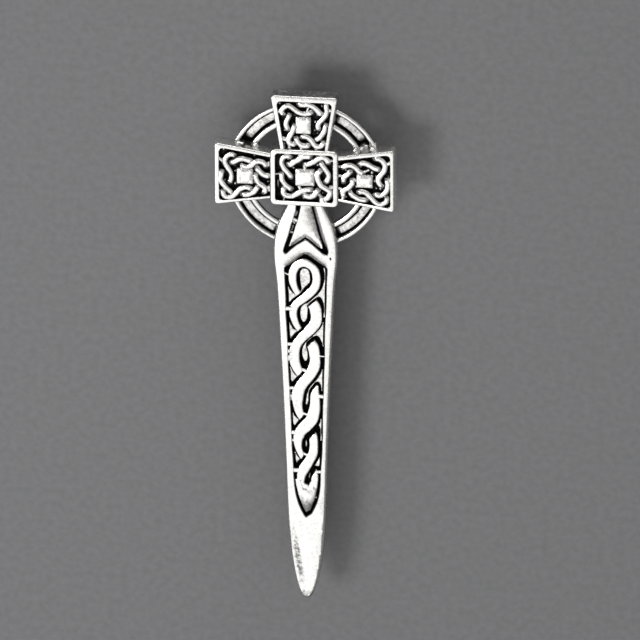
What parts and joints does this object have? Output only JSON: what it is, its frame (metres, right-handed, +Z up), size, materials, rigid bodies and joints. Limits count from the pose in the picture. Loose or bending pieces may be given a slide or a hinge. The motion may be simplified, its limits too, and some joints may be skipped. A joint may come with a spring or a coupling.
{
  "type": "kilt pin brooch",
  "caption": "Cast kilt pin brooch: a ringed interlace cross whose lower arm runs out into a dagger blade, with a straight pin and catch behind.",
  "frame": {"origin": "on the surface that the pin lies on, under the middle of its bounding box", "axes": "+Y from the tip of the blade to the head of the cross, +Z up out of the decorated face, +X to the right seen from the face with the head up"},
  "size_m": [0.0312, 0.095, 0.0109],
  "materials": {
    "antique_silver": "worn bright silver plate on the high places, near-black patina in the recesses",
    "pin_steel": "plain satin steel"
  },
  "bodies": {
    "root": {"cross_blade_casting": "antique_silver", "back_pin": "pin_steel"}
  },
  "joints": []
}
